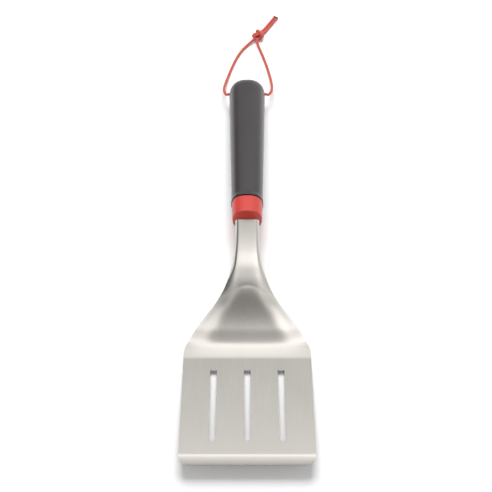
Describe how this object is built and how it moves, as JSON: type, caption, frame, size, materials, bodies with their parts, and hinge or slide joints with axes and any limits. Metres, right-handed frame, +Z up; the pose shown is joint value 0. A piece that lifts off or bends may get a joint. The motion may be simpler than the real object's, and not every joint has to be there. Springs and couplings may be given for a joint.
{
  "type": "grill spatula",
  "caption": "Slotted stamped steel grill spatula with a raised shoulder boss, a coloured collar, a soft-touch handle and a knotted hanging cord.",
  "frame": {"origin": "on the table under the middle of the spatula, measured without its cord", "axes": "+Y along the spatula from the blade's front edge to the handle's end, +X to the right across the blade, +Z up from the table it lies on"},
  "size_m": [0.098, 0.4962, 0.0357],
  "materials": {
    "stainless": "satin brushed",
    "pin_steel": "plain",
    "core_plastic": "moulded",
    "soft_grip": "soft-touch satin",
    "red_plastic": "satin moulded",
    "red_cord": "braided",
    "melted_cord": "melted end"
  },
  "bodies": {
    "spatula": {"head": "stainless", "tang_pin_front": "pin_steel", "tang_pin_rear": "pin_steel", "handle_core": "core_plastic", "grip_sleeve": "soft_grip", "collar": "red_plastic"},
    "cord": {"cord_left": "red_cord", "cord_right": "red_cord", "cord_knot": "red_cord", "cord_tail_left": "red_cord", "cord_tail_right": "red_cord", "cord_tip_left": "melted_cord", "cord_tip_right": "melted_cord"}
  },
  "joints": [
    {"name": "cord_swing", "type": "hinge", "parent": "spatula", "child": "cord", "pos_m": [0, 0.17878, 0.01577], "axis": [1, 0, 0], "range_deg": [-145, 155]}
  ]
}
